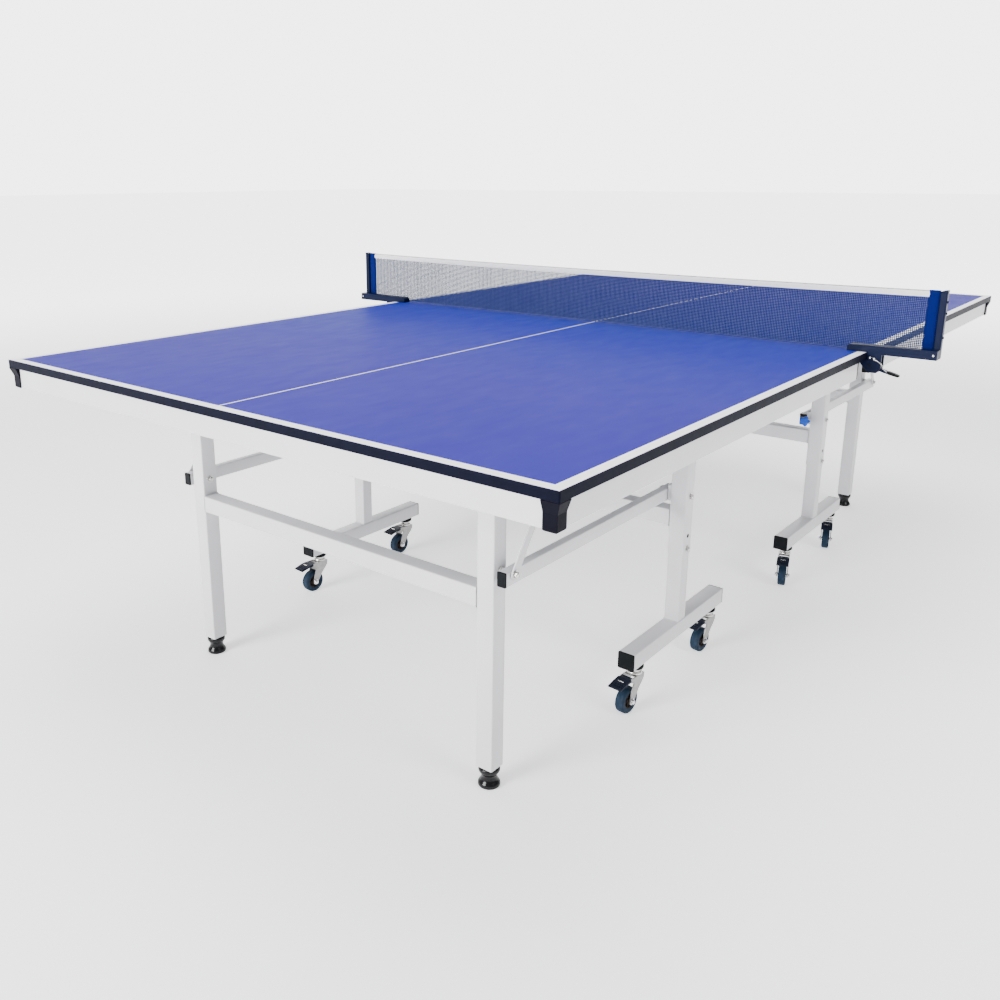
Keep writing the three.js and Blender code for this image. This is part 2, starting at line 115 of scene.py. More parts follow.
class Nodes:
    """A material with a principled shader, and short ways to add the nodes that feed it."""

    def __init__(self, name, roughness=0.5, metallic=0.0, **sockets):
        self.material = bpy.data.materials.new(name)
        self.material.use_nodes = True
        self.tree = self.material.node_tree
        self.shader = self.tree.nodes["Principled BSDF"]
        self.set("Roughness", roughness)
        self.set("Metallic", metallic)
        for socket, value in sockets.items():
            self.set(socket.replace("_", " "), value)
        self.coords = self.tree.nodes.new("ShaderNodeTexCoord").outputs["Object"]

    def set(self, socket, value):
        self.shader.inputs[socket].default_value = value

    def link(self, a, b):
        self.tree.links.new(a, b)
        return a

    def noise(self, scale, detail=3.0, stretch=None, roughness=0.5):
        node = self.tree.nodes.new("ShaderNodeTexNoise")
        node.inputs["Scale"].default_value = scale
        node.inputs["Detail"].default_value = detail
        node.inputs["Roughness"].default_value = roughness
        self.link(self.stretched(stretch) if stretch else self.coords, node.inputs["Vector"])
        return node.outputs["Fac"]

    def stretched(self, stretch):
        node = self.tree.nodes.new("ShaderNodeMapping")
        node.inputs["Scale"].default_value = stretch
        self.link(self.coords, node.inputs["Vector"])
        return node.outputs["Vector"]

    def ramp(self, fac, stops):
        node = self.tree.nodes.new("ShaderNodeValToRGB")
        while len(node.color_ramp.elements) < len(stops):
            node.color_ramp.elements.new(0.5)
        for element, (position, colour) in zip(node.color_ramp.elements, stops):
            element.position = position
            element.color = (*colour, 1) if len(colour) == 3 else colour
        self.link(fac, node.inputs["Fac"])
        return node.outputs["Color"]

    def mix(self, fac, a, b, blend="MIX"):
        node = self.tree.nodes.new("ShaderNodeMix")
        node.data_type, node.blend_type = "RGBA", blend
        for socket, value in ((0, fac), (6, a), (7, b)):
            if isinstance(value, (float, int)):
                node.inputs[socket].default_value = value
            elif isinstance(value, tuple):
                node.inputs[socket].default_value = (*value, 1)
            else:
                self.link(value, node.inputs[socket])
        return node.outputs[2]

    def colour(self, source):
        self.link(source, self.shader.inputs["Base Color"])

    def rough(self, fac, low, high):
        self.link(map_range(self.tree, fac, wanted=(low, high)), self.shader.inputs["Roughness"])

    def bump(self, fac, distance, strength=1.0):
        node = self.tree.nodes.new("ShaderNodeBump")
        node.inputs["Distance"].default_value = distance
        node.inputs["Strength"].default_value = strength
        previous = self.shader.inputs["Normal"]
        if previous.is_linked:
            self.link(previous.links[0].from_socket, node.inputs["Normal"])
        self.link(fac, node.inputs["Height"])
        self.link(node.outputs["Normal"], previous)

    def axis(self, letter):
        node = self.tree.nodes.new("ShaderNodeSeparateXYZ")
        self.link(self.coords, node.inputs[0])
        return node.outputs[letter]

    def span(self, value, low, high):
        return map_range(self.tree, value, given=(low, high))


def shades(colour, low, high):
    """The same colour, darker and lighter."""
    return tuple(c * low for c in colour), tuple(min(1, c * high) for c in colour)


def playing_surface():
    m = Nodes("playing_surface", roughness=0.5, Specular_IOR_Level=0.01)
    # Painted reflection: the top's colour runs from violet at its end to azure towards the net, standing in
    # for the bluer light it reflects there.
    violet, azure = (0.026, 0.019, 0.235), (0.003, 0.024, 0.25)
    base = m.mix(m.span(m.axis("X"), -0.9, 0.4), violet, azure)
    cloud = m.noise(2.2, 4, stretch=(1, 1.6, 1))
    base = m.mix(m.ramp(cloud, [(0.35, (0, 0, 0)), (0.75, (0.28,) * 3)]), base, (0.030, 0.028, 0.27))
    fleck = m.noise(900, 2)
    base = m.mix(m.ramp(fleck, [(0.62, (0, 0, 0)), (0.75, (0.12,) * 3)]), base, (0.04, 0.05, 0.32))
    m.colour(base)
    m.rough(m.noise(14, 5, stretch=(1, 2.5, 1)), 0.42, 0.58)
    m.bump(m.noise(420, 3), 0.00006, 0.35)
    m.bump(m.noise(5, 2), 0.0004, 0.12)
    return m.material


def line_paint():
    m = Nodes("line_paint", roughness=0.5)
    m.colour(m.ramp(m.noise(60, 5), [(0.2, (0.84, 0.84, 0.87)), (0.8, (0.93, 0.93, 0.95))]))
    m.rough(m.noise(80, 4), 0.42, 0.58)
    m.bump(m.noise(700, 3), 0.00004, 0.4)
    return m.material


def board_underside():
    m = Nodes("board_underside", roughness=0.8)
    grain = m.noise(90, 6, stretch=(1, 6, 1))
    m.colour(m.ramp(grain, [(0.3, (0.055, 0.06, 0.075)), (0.7, (0.085, 0.09, 0.11))]))
    m.bump(grain, 0.0002, 0.4)
    return m.material


def moulded(name, colour, roughness=0.45, grain=1500, spread=0.15, sheen=0.06):
    """Moulded plastic: slight colour drift, fine texture and uneven sheen."""
    m = Nodes(name, roughness=roughness, Specular_IOR_Level=sheen)
    low, high = shades(colour, 1 - spread, 1 + spread)
    m.colour(m.ramp(m.noise(35, 5), [(0.3, low), (0.7, high)]))
    m.rough(m.noise(120, 4), roughness - 0.07, roughness + 0.09)
    m.bump(m.noise(grain, 3), 0.00005, 0.5)
    return m.material


def powder_coat(name, colour, roughness=0.38, sheen=0.4):
    """Powder-coated steel: orange peel, a faint drift in tone and dark dust specks here and there."""
    m = Nodes(name, roughness=roughness, Specular_IOR_Level=sheen)
    low, high = shades(colour, 0.955, 1.03)
    base = m.ramp(m.noise(6, 5), [(0.3, low), (0.7, high)])
    speck = m.ramp(m.noise(260, 3), [(0.66, (0, 0, 0)), (0.8, (0.10,) * 3)])
    m.colour(m.mix(speck, base, tuple(c * 0.62 for c in colour)))
    m.rough(m.noise(45, 4), roughness - 0.06, roughness + 0.1)
    m.bump(m.noise(380, 2), 0.0001, 0.4)
    return m.material


def metal(name, colour, roughness, grain=(1, 1, 1)):
    m = Nodes(name, roughness=roughness, metallic=1.0)
    low, high = shades(colour, 0.8, 1.12)
    m.colour(m.ramp(m.noise(110, 6), [(0.3, low), (0.72, high)]))
    m.rough(m.noise(170, 5, stretch=grain), roughness - 0.1, roughness + 0.14)
    m.bump(m.noise(900, 3, stretch=grain), 0.00004, 0.5)
    return m.material


def rubber(name, colour):
    m = Nodes(name, roughness=0.7, Specular_IOR_Level=0.15)
    low, high = shades(colour, 0.75, 1.25)
    base = m.ramp(m.noise(70, 5), [(0.3, low), (0.7, high)])
    dust = m.ramp(m.noise(30, 6), [(0.5, (0, 0, 0)), (0.75, (0.22,) * 3)])
    m.colour(m.mix(dust, base, (0.09, 0.09, 0.10)))
    m.rough(m.noise(90, 4), 0.55, 0.8)
    m.bump(m.noise(800, 4), 0.00012, 0.6)
    return m.material


def woven(name, colour, pitch, sheen=0.3):
    """Woven tape or cloth: threads over and under, from two crossed waves, with the low parts of the weave
    painted darker as shade between the threads.
    """
    m = Nodes(name, roughness=0.85, Sheen_Weight=sheen, Sheen_Roughness=0.4, Specular_IOR_Level=0.1)
    heights = []
    for direction in ("Y", "Z"):
        wave = m.tree.nodes.new("ShaderNodeTexWave")
        wave.bands_direction = direction
        wave.inputs["Scale"].default_value = 1 / (pitch * MM) / 3.2
        wave.inputs["Distortion"].default_value = 0.6
        m.link(m.coords, wave.inputs["Vector"])
        heights.append(wave.outputs["Color"])
    weave = m.mix(1.0, heights[0], heights[1], "MULTIPLY")
    # Painted shade: the colour darkens where the weave is low, between the threads.
    low, high = shades(colour, 0.72, 1.1)
    m.colour(m.mix(m.noise(55, 4), m.mix(weave, low, high), tuple(c * 0.93 for c in colour)))
    m.bump(weave, 0.0003, 0.6)
    return m.material


SURFACE = playing_surface()
LINES = line_paint()
UNDERSIDE = board_underside()
BAND = moulded("navy_edge_band", (0.0025, 0.0032, 0.0100), 0.45, sheen=0.03)
CAP = moulded("navy_corner_cap", (0.003, 0.003, 0.007), 0.42, sheen=0.03)
PAINT = powder_coat("frame_powder_coat", (0.60, 0.60, 0.62))
NAVY = powder_coat("navy_powder_coat", (0.002, 0.005, 0.024), 0.34, sheen=0.08)
BLACK = moulded("black_plastic", (0.004, 0.005, 0.006), 0.35, sheen=0.06)
PEDAL = moulded("pedal_plastic", (0.009, 0.012, 0.022), 0.42)
FOOT = moulded("glossy_foot_plastic", (0.006, 0.006, 0.007), 0.16, grain=400, sheen=0.2)
KNOB = moulded("blue_knob_plastic", (0.02, 0.075, 0.42), 0.35)
ZINC = metal("zinc_plate", (0.33, 0.33, 0.32), 0.34)
BRIGHT = metal("bright_zinc", (0.62, 0.61, 0.59), 0.24)
CHROME = metal("chromed_nut", (0.86, 0.86, 0.88), 0.14)
TYRE = rubber("slate_tyre", (0.007, 0.020, 0.040))
HUB = moulded("hub_plastic", (0.030, 0.023, 0.020), 0.5)
TAPE = woven("net_tape_cloth", (0.86, 0.86, 0.88), 0.8)
SLEEVE = woven("blue_sleeve_cloth", (0.0006, 0.005, 0.10), 1.0, sheen=0.0)
STRAND = woven("net_strands", (0.016, 0.032, 0.125), 0.5, sheen=0.0)
CORD = woven("head_cord", (0.30, 0.30, 0.32), 0.6)


# ---- Shape kit ---------------------------------------------------------------------------------
def spot(axis, a, u, v):
    """The point at a along the named axis, with u and v along the other two in X, Y, Z order."""
    return {"x": (a, u, v), "y": (u, a, v), "z": (u, v, a)}[axis]


def rounded_rectangle(u, v, r, steps=4):
    corners = [(u[1] - r, v[1] - r), (u[0] + r, v[1] - r), (u[0] + r, v[0] + r), (u[1] - r, v[0] + r)]
    points = []
    for quarter, (cu, cv) in enumerate(corners):
        for i in range(steps + 1):
            angle = math.pi / 2 * (quarter + i / steps)
            points.append((cu + r * math.cos(angle), cv + r * math.sin(angle)))
    return points


def circle(r, centre=(0, 0), steps=32):
    return [(centre[0] + r * math.cos(2 * math.pi * i / steps),
             centre[1] + r * math.sin(2 * math.pi * i / steps)) for i in range(steps)]


def stadium(u, v, steps=10):
    """A slot outline: a rectangle with half-round ends along u."""
    r, middle = (v[1] - v[0]) / 2, (v[0] + v[1]) / 2
    ends = [(u[1] - r, -math.pi / 2), (u[0] + r, math.pi / 2)]
    points = []
    for centre, start in ends:
        for i in range(steps + 1):
            angle = start + math.pi * i / steps
            points.append((centre + r * math.cos(angle), middle + r * math.sin(angle)))
    return points


def strip(side, low, high):
    return (low, high) if side > 0 else (-high, -low)


def screw_profile(start, end, r, depth, pitch, turns=20):
    """The half outline of a threaded rod, from its axis at start to its axis at end."""
    points = [(0, start)]
    for i in range(turns):
        points += [(r - depth, start + pitch * i), (r, start + pitch * (i + 0.5))]
    return points + [(r - depth, end), (0, end)]


class Shape:
    """Collects solids in one mesh, then makes a piece of it."""

    def __init__(self):
        self.bm = bmesh.new()

    def loop(self, axis, a, outline):
        return [self.bm.verts.new(Vector(spot(axis, a, u, v)) * MM) for u, v in outline]

    def wall(self, first, second):
        count = len(first)
        for i in range(count):
            j = (i + 1) % count
            self.bm.faces.new((first[i], first[j], second[j], second[i]))

    def plate(self, axis, a, outlines):
        """A solid between a[0] and a[1]: outlines[0] is its outside, and the others are holes."""
        flat = [[Vector((u, v, 0)) for u, v in outline] for outline in outlines]
        triangles = tessellate_polygon(flat)
        ends = []
        for level in a:
            loops = [self.loop(axis, level, outline) for outline in outlines]
            verts = [vert for loop in loops for vert in loop]
            for triangle in triangles:
                self.bm.faces.new([verts[i] for i in triangle])
            ends.append(loops)
        for low, high in zip(*ends):
            self.wall(low, high)
        return self

    def prism(self, axis, a, outline):
        low, high = (self.loop(axis, level, outline) for level in a)
        self.wall(low, high)
        self.bm.faces.new(low)
        self.bm.faces.new(list(reversed(high)))
        return self

    def tube(self, axis, a, u, v, r=2.5, wall=1.5):
        """A square tube with rounded corners, open at both ends."""
        outer = rounded_rectangle(u, v, r)
        inner = rounded_rectangle((u[0] + wall, u[1] - wall), (v[0] + wall, v[1] - wall), max(0.4, r - wall))
        rings = [[self.loop(axis, level, ring) for level in a] for ring in (outer, inner)]
        for ring in rings:
            self.wall(*ring)
        for end in (0, 1):
            self.wall(rings[0][end], rings[1][end])
        return self

    def bar(self, axis, a, u, v, r=2.5):
        return self.prism(axis, a, rounded_rectangle(u, v, r))

    def plug(self, end, way, y, z, lip, depth, r, stem_r=1):
        """A tube's end plug: a lip outside the end at X, and a smaller stem inside."""
        face = end + way * PLUG_FIT
        self.bar("x", sorted((face, end + way * lip)), y, z, r)
        self.bar("x", sorted((end - way * depth, face)), (y[0] + PLUG_INSET, y[1] - PLUG_INSET),
                 (z[0] + PLUG_INSET, z[1] - PLUG_INSET), stem_r)

    def rod(self, axis, a, r, centre, steps=32):
        return self.prism(axis, a, circle(r, centre, steps))

    def turned(self, axis, profile, centre=(0, 0), steps=40, lobes=0, depth=0.0):
        """A solid of revolution from (radius, height) points; lobes make it a star."""
        rings = []
        for r, height in profile:
            if r <= 0:
                rings.append([self.bm.verts.new(Vector(spot(axis, height, *centre)) * MM)])
                continue
            ring = []
            for i in range(steps):
                angle = 2 * math.pi * i / steps
                reach = r * (1 + depth * math.cos(lobes * angle)) if lobes else r
                u, v = centre[0] + reach * math.cos(angle), centre[1] + reach * math.sin(angle)
                ring.append(self.bm.verts.new(Vector(spot(axis, height, u, v)) * MM))
            rings.append(ring)
        for low, high in zip(rings, rings[1:]):
            for i in range(steps):
                j = (i + 1) % steps
                corners = [low[i % len(low)], low[j % len(low)], high[j % len(high)], high[i % len(high)]]
                unique = list(dict.fromkeys(corners))
                if len(unique) > 2:
                    self.bm.faces.new(unique)
        if len(rings[0]) > 1 and profile[0] == profile[-1]:
            bmesh.ops.remove_doubles(self.bm, verts=rings[0] + rings[-1], dist=1e-7)
        return self

    def bead(self, axis, a, u, v, r=2.5, size=2.2):
        """A weld bead round a square tube that meets a face at a; it grows outward by size."""
        steps = 5
        rings = []
        for i in range(steps + 1):
            angle = math.pi / 2 * i / steps
            out = size * (1 - math.sin(angle))
            along = a[0] + (a[1] - a[0]) * (1 - math.cos(angle))
            ring = rounded_rectangle((u[0] - out, u[1] + out), (v[0] - out, v[1] + out), r + out)
            rings.append(self.loop(axis, along, ring))
        for low, high in zip(rings, rings[1:]):
            self.wall(low, high)
        return self

    def piece(self, name, material, body, slot, move=None, bevel=0.0, smooth=40, stands_for=()):
        bmesh.ops.recalc_face_normals(self.bm, faces=self.bm.faces)
        data = bpy.data.meshes.new(name)
        self.bm.to_mesh(data)
        self.bm.free()
        return finish_piece(name, data, material, body, move, bevel, smooth, stands_for)


def finish_piece(name, data, material, body, move=None, bevel=0.0, smooth=40, stands_for=()):
    if material.name not in data.materials:
        data.materials.append(material)
    data.shade_smooth()
    data.set_sharp_from_angle(angle=math.radians(smooth))
    piece = bpy.data.objects.new(name, data)
    bpy.context.scene.collection.objects.link(piece)
    if bevel:
        soften(piece, bevel)
    if move is not None:
        piece.matrix_world = move
    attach(piece, body)
    if stands_for:
        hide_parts(*stands_for)
    return piece


def soften(piece, width):
    edge = piece.modifiers.new("edge", "BEVEL")
    edge.width, edge.segments = width * MM, 3
    edge.limit_method, edge.angle_limit = "ANGLE", math.radians(40)
    edge.use_clamp_overlap = True
    normals = piece.modifiers.new("normals", "WEIGHTED_NORMAL")
    normals.keep_sharp = True


def hex_bolt(shape, axis, face, direction, centre, r=6.5, height=5, washer=9):
    """A washer and a domed hexagon head on a face; direction is +1 or -1 along the axis."""
    top = face + direction * 1.4
    shape.prism(axis, (face, top), circle(washer, centre, 28))
    shape.prism(axis, (top, top + direction * height), circle(r, centre, 6))
    shape.turned(axis, [(r * 0.82, top + direction * height), (r * 0.6, top + direction * (height + 1.2)),
                        (0, top + direction * (height + 1.6))], centre, 18)


# ---- Top ---------------------------------------------------------------------------------------
def build_top(half, turn):
    body = f"top_{half}"
    edge = 1.0
    x, y = (-END_X + edge, -HALF_GAP - edge), (-SIDE_Y + edge, SIDE_Y - edge)
    panel = Shape().bar("z", (BOARD_Z, TOP_Z), x, y, 2.0)
    panel = panel.piece(f"panel_{half}", SURFACE, body, "playing_surface", turn, bevel=0.5,
                        stands_for=[f"table_top_{half}"])
    panel.data.materials.append(UNDERSIDE)
    for face in panel.data.polygons:
        if face.normal.z < -0.5:
            face.material_index = 1
    band = Shape()
    outer = rounded_rectangle((-END_X, -HALF_GAP), (-SIDE_Y, SIDE_Y), 3.0)
    inner = rounded_rectangle((x[0] + 0.05, x[1] - 0.05), (y[0] + 0.05, y[1] - 0.05), 2.0)
    band.plate("z", (BOARD_Z + 0.2, TOP_Z - 0.3), [outer, inner])
    band.piece(f"edge_band_{half}", BAND, body, "edge_band", turn, bevel=0.35)
    lines = Shape()
    level = (TOP_Z - 0.2, TOP_Z + 0.12)
    wide, thin, join = 20, 1.5, 0.2
    lines.bar("z", level, (x[0] + 0.3, x[0] + wide), (y[0] + 0.3, y[1] - 0.3), 0.3)
    for side in SIDES.values():
        lines.bar("z", level, (x[0] + wide + join, x[1] - 0.3), strip(side, y[1] - wide, y[1] - 0.3), 0.3)
    lines.bar("z", level, (x[0] + wide + join, x[1] - 0.3), (-thin, thin), 0.3)
    lines.piece(f"line_paint_{half}", LINES, body, "playing_surface", turn)
    for word in SIDES:
        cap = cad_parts[f"corner_cap_{half}_{word}"]
        dress_node(cap, CAP, 1.6)


def dress_node(node, material, bevel):
    """Gives a CAD node its material and soft edges without touching its mesh."""
    node.data.materials.clear()
    node.data.materials.append(material)
    weld = node.modifiers.new("weld", "WELD")
    weld.merge_threshold = 1e-5
    flat = node.modifiers.new("flat", "DECIMATE")
    flat.decimate_type, flat.angle_limit = "DISSOLVE", math.radians(1)
    soften(node, bevel)


def build_under_frame(half, turn):
    body, slot = f"top_{half}", "frame_paint"
    out_x, out_y = -END_X + RAIL_INSET, SIDE_Y - RAIL_INSET
    rails = Shape()
    rails.tube("y", (-out_y + RAIL_THICK, out_y - RAIL_THICK), (out_x, out_x + RAIL_THICK), RAIL_Z)
    for side in SIDES.values():
        rails.tube("x", (out_x, RAIL_NET_X), strip(side, out_y - RAIL_THICK, out_y), RAIL_Z)
    rails.piece(f"apron_{half}", PAINT, body, slot, turn, stands_for=[f"under_frame_{half}"])
    rail_y = out_y - RAIL_THICK
    bars = Shape().bar("y", (-rail_y, rail_y), (-1172, -1147), (717, RAIL_Z[1]), 2)
    pivot_x = WHEEL_X + PIVOT_LEAD
    for side in SIDES.values():
        for inside in (LEG_Y - HALF_TUBE - 5, LEG_Y + HALF_TUBE + 1):
            ear = [(-1147, 700), (LEG_X + PIVOT_LEAD + 18, 700), (LEG_X + PIVOT_LEAD + 30, 712),
                   (LEG_X + PIVOT_LEAD + 30, RAIL_Z[1]), (-1147, RAIL_Z[1])]
            bars.plate("y", strip(side, inside, inside + 4), [ear])
        rail = [(-1146.5, 700), (pivot_x + 18, 700), (pivot_x + 30, 712), (pivot_x + 30, RAIL_Z[1]),
                (-1146.5, RAIL_Z[1])]
        bars.plate("y", strip(side, WHEEL_Y - HALF_TUBE - 5, WHEEL_Y - HALF_TUBE - 1),
                   [rail, stadium(SLOT_X, SLOT_Z)])
        outer = [(pivot_x - 30, 712), (pivot_x - 18, 700), (pivot_x + 18, 700), (pivot_x + 30, 712),
                 (pivot_x + 30, RAIL_Z[1]), (pivot_x - 30, RAIL_Z[1])]
        bars.plate("y", strip(side, WHEEL_Y + HALF_TUBE + 1, WHEEL_Y + HALF_TUBE + 5), [outer])
        bars.bar("y", strip(side, WHEEL_Y + HALF_TUBE + 5, rail_y), (pivot_x - 15, pivot_x + 15),
                 (722, RAIL_Z[1]), 2)
    bars.piece(f"pivot_plates_{half}", PAINT, body, slot, turn, bevel=0.6)
    plugs, bolts = Shape(), Shape()
    for side in SIDES.values():
        plug_y = strip(side, rail_y, out_y)
        plugs.plug(RAIL_NET_X, 1, plug_y, RAIL_Z, lip=9, depth=12, r=2.5)
        for px, py in ((LEG_X + PIVOT_LEAD, LEG_Y), (pivot_x, WHEEL_Y)):
            for way in (1, -1):
                face = side * py + way * (HALF_TUBE + 5)
                hex_bolt(bolts, "y", face, way, (px, PIVOT_Z), height=4 if way * side < 0 else 5)
    plugs.piece(f"rail_plugs_{half}", BLACK, body, "lever_plastic", turn, bevel=0.8)
    bolts.piece(f"pivot_bolts_{half}", BRIGHT, body, "zinc_plate", turn, bevel=0.4)


# ---- Legs --------------------------------------------------------------------------------------
def build_end_frame(half, turn):
    body, slot = f"legs_{half}", "frame_paint"
    x = (LEG_X - HALF_TUBE, LEG_X + HALF_TUBE)
    legs, bolts = Shape(), Shape()
    inner = LEG_Y - HALF_TUBE
    legs.bar("y", (-inner, inner), x, CROSSBAR_Z, 3)
    for side in SIDES.values():
        y = strip(side, inner, LEG_Y + HALF_TUBE)
        legs.bar("z", LEG_TUBE_Z, x, y, 3)
        legs.bar("x", (x[1], LEG_X + PIVOT_LEAD + STUB_REACH), y, STUB_Z, 3)
        legs.bead("y", (side * inner, side * (inner - BEAD)), x, CROSSBAR_Z, 3)
        legs.bead("x", (x[1], x[1] + BEAD), y, STUB_Z, 3)
        outer = side * (LEG_Y + HALF_TUBE)
        bolts.rod("y", (outer, side * (STAY_Y[1] + 0.3)), 4, (LEG_X, LINK_Z), 20)
        bolts.rod("y", (outer, outer + side * 9), 8, (LEG_X, LINK_Z), 24)
        hex_bolt(bolts, "y", side * STAY_Y[1], side, (LEG_X, LINK_Z))
        hex_bolt(bolts, "y", side * inner, -side, (LEG_X, LINK_Z), height=4.5)
    legs.piece(f"leg_tubes_{half}", PAINT, body, slot, turn, stands_for=[f"end_frame_{half}"])
    bolts.piece(f"leg_bolts_{half}", BRIGHT, body, "zinc_plate", turn, bevel=0.4)
    for word, side in SIDES.items():
        build_foot(f"{half}_{word}", f"foot_{half}_{word}", side, turn)


def build_foot(name, body, side, turn):
    profile = [(0, 0.3), (16, 0.3), (19.6, 0), (21.4, 0.5), (22.7, 2), (23, 4.4), (22.6, 7.5), (21.4, 10),
               (19.4, 12.6), (17.7, 15.6), (16.7, 19), (16.5, 22), (17.1, 25.4), (18.5, 28.6), (20.4, 31.4),
               (21.8, 34), (22.2, 37), (22, 39.6), (21.2, 41.6), (19.5, 43.2), (17.6, NECK_Z), (0, NECK_Z)]
    foot = Shape().turned("z", profile, (LEG_X, side * LEG_Y), 56)
    foot.piece(f"foot_{name}", FOOT, body, "foot_plastic", turn, smooth=50,
               stands_for=[f"levelling_foot_{name}"])
    thread = screw_profile(NECK_Z, NECK_Z + 30, r=5, depth=0.9, pitch=1.5)
    stem = Shape().turned("z", thread, (LEG_X, side * LEG_Y), 24)
    stem.piece(f"foot_stem_{name}", ZINC, body, "zinc_plate", turn)


def build_wheel_frame(half, turn):
    body, slot = f"base_{half}", "frame_paint"
    x = (WHEEL_X - HALF_TUBE, WHEEL_X + HALF_TUBE)
    inner = WHEEL_Y - HALF_TUBE
    sleeves, bolts = Shape(), Shape()
    sleeves.bar("y", (-inner, inner), x, CROSSBAR_Z, 3)
    for word, side in SIDES.items():
        y = strip(side, inner, WHEEL_Y + HALF_TUBE)
        sleeves.tube("z", (SLEEVE_Z, HEAD_Z), x, y, 3, 1.2)
        sleeves.bar("z", (HEAD_Z, STUB_Z[1]), x, y, 3)
        sleeves.bar("x", (x[1], WHEEL_X + PIVOT_LEAD + STUB_REACH), y, STUB_Z, 3)
        sleeves.bead("y", (side * inner, side * (inner - BEAD)), x, CROSSBAR_Z, 3)
        sleeves.bead("x", (x[1], x[1] + BEAD), y, STUB_Z, 3)
        lug = strip(side, LINK_Y[1] + 1, inner)
        sleeves.bar("y", lug, (x[0] + 6, x[1] - 1), (LINK_Z - 22, LINK_Z + 18), 4)
        face = side * (WHEEL_Y + HALF_TUBE)
        for z in (LINK_Z - 5, 332):
            hex_bolt(bolts, "y", face, side, (WHEEL_X, z), 6, 4.5, 8.5)
        hex_bolt(bolts, "y", side * LINK_Y[0], -side, (WHEEL_X, LINK_Z), 6, 4.5, 8.5)
        bolts.rod("y", strip(side, LINK_Y[0], LINK_Y[1] + 1), 4, (WHEEL_X, LINK_Z), 20)
        build_wheel_leg(f"{half}_{word}", body, side, turn)
    sleeves.piece(f"wheel_frame_tubes_{half}", PAINT, body, slot, turn, stands_for=[f"wheel_frame_{half}"])
    bolts.piece(f"sleeve_bolts_{half}", BRIGHT, body, "zinc_plate", turn, bevel=0.4)
    # Each spare height hole gets a black rim, and a black disc inside it that is painted shade standing in
    # for the hole's dark inside.
    holes, spare = Shape(), (WHEEL_X, 364)
    for side in SIDES.values():
        face = side * (WHEEL_Y + HALF_TUBE)
        ring = [(3.6, face - side * 0.5), (3.6, face + side * 0.35), (4.6, face + side * 0.35),
                (5.2, face - side * 0.1)]
        holes.turned("y", ring, spare, 24)
        holes.rod("y", (face, face + side * 0.15), 3.6, spare, 24)
    holes.piece(f"spare_height_holes_{half}", BLACK, body, "lever_plastic", turn)


def build_wheel_leg(name, body, side, turn):
    half_tube = INNER_TUBE / 2
    leg = Shape()
    x, y = (WHEEL_X - half_tube, WHEEL_X + half_tube), strip(side, WHEEL_Y - half_tube, WHEEL_Y + half_tube)
    bar_y = strip(side, WHEEL_Y - HALF_TUBE, WHEEL_Y + HALF_TUBE)
    leg.tube("z", (BAR_Z[1], 520), x, y, 2.5, 2)
    leg.tube("x", BAR_X, bar_y, BAR_Z, 3)
    leg.bead("z", (BAR_Z[1], BAR_Z[1] + 2.4), x, y, 2.5)
    leg.piece(f"wheel_leg_tubes_{name}", PAINT, body, "frame_paint", turn,
              stands_for=[f"wheel_leg_{name}"])
    plugs = Shape()
    for end, way in ((BAR_X[0], -1), (BAR_X[1], 1)):
        plugs.plug(end, way, bar_y, BAR_Z, lip=4, depth=12, r=3, stem_r=1.5)
    plugs.piece(f"bar_plugs_{name}", BLACK, body, "lever_plastic", turn, bevel=1.1)


def build_links(half, turn):
    for word, side in SIDES.items():
        name, y = f"{half}_{word}", strip(side, *LINK_Y)
        x, z = (LEG_X - 20, WHEEL_X + 18), LINK_TUBE_Z
        link = Shape().tube("x", x, y, z, 2.5)
        link.piece(f"link_{name}", PAINT, f"links_{half}", "frame_paint", turn,
                   stands_for=[f"link_bar_{name}"])
        plugs = Shape()
        for end, way in ((x[0], -1), (x[1], 1)):
            plugs.plug(end, way, y, z, lip=3.5, depth=10, r=2.5)
        plugs.piece(f"link_plugs_{name}", BLACK, f"links_{half}", "lever_plastic", turn, bevel=0.9)
        lean = math.radians(STAY_LEAN)
        along = Vector((math.sin(lean), math.cos(lean)))
        across = Vector((along.y, -along.x))

        def at(reach, aside):
            point = Vector((LEG_X, LINK_Z)) + along * reach + across * aside
            return point.x, point.y

        sweep = [math.pi * i / 12 for i in range(13)]
        outline = [at(-STAY_EYE * math.sin(t), -STAY_EYE * math.cos(t)) for t in sweep]
        outline += [at(STAY_LENGTH + STAY_EYE * math.sin(t), STAY_EYE * math.cos(t)) for t in sweep]
        stay = Shape().plate("y", strip(side, *STAY_Y), [outline])
        stay.piece(f"stay_strap_{name}", PAINT, f"stays_{half}", "frame_paint", turn, bevel=0.7,
                   stands_for=[f"stay_{name}"])
        pin = Shape()
        hex_bolt(pin, "y", side * STAY_Y[0], -side, at(STAY_LENGTH, 0), 6, 4, 8.5)
        pin.piece(f"stay_pin_{name}", BRIGHT, f"stays_{half}", "zinc_plate", turn, bevel=0.4)


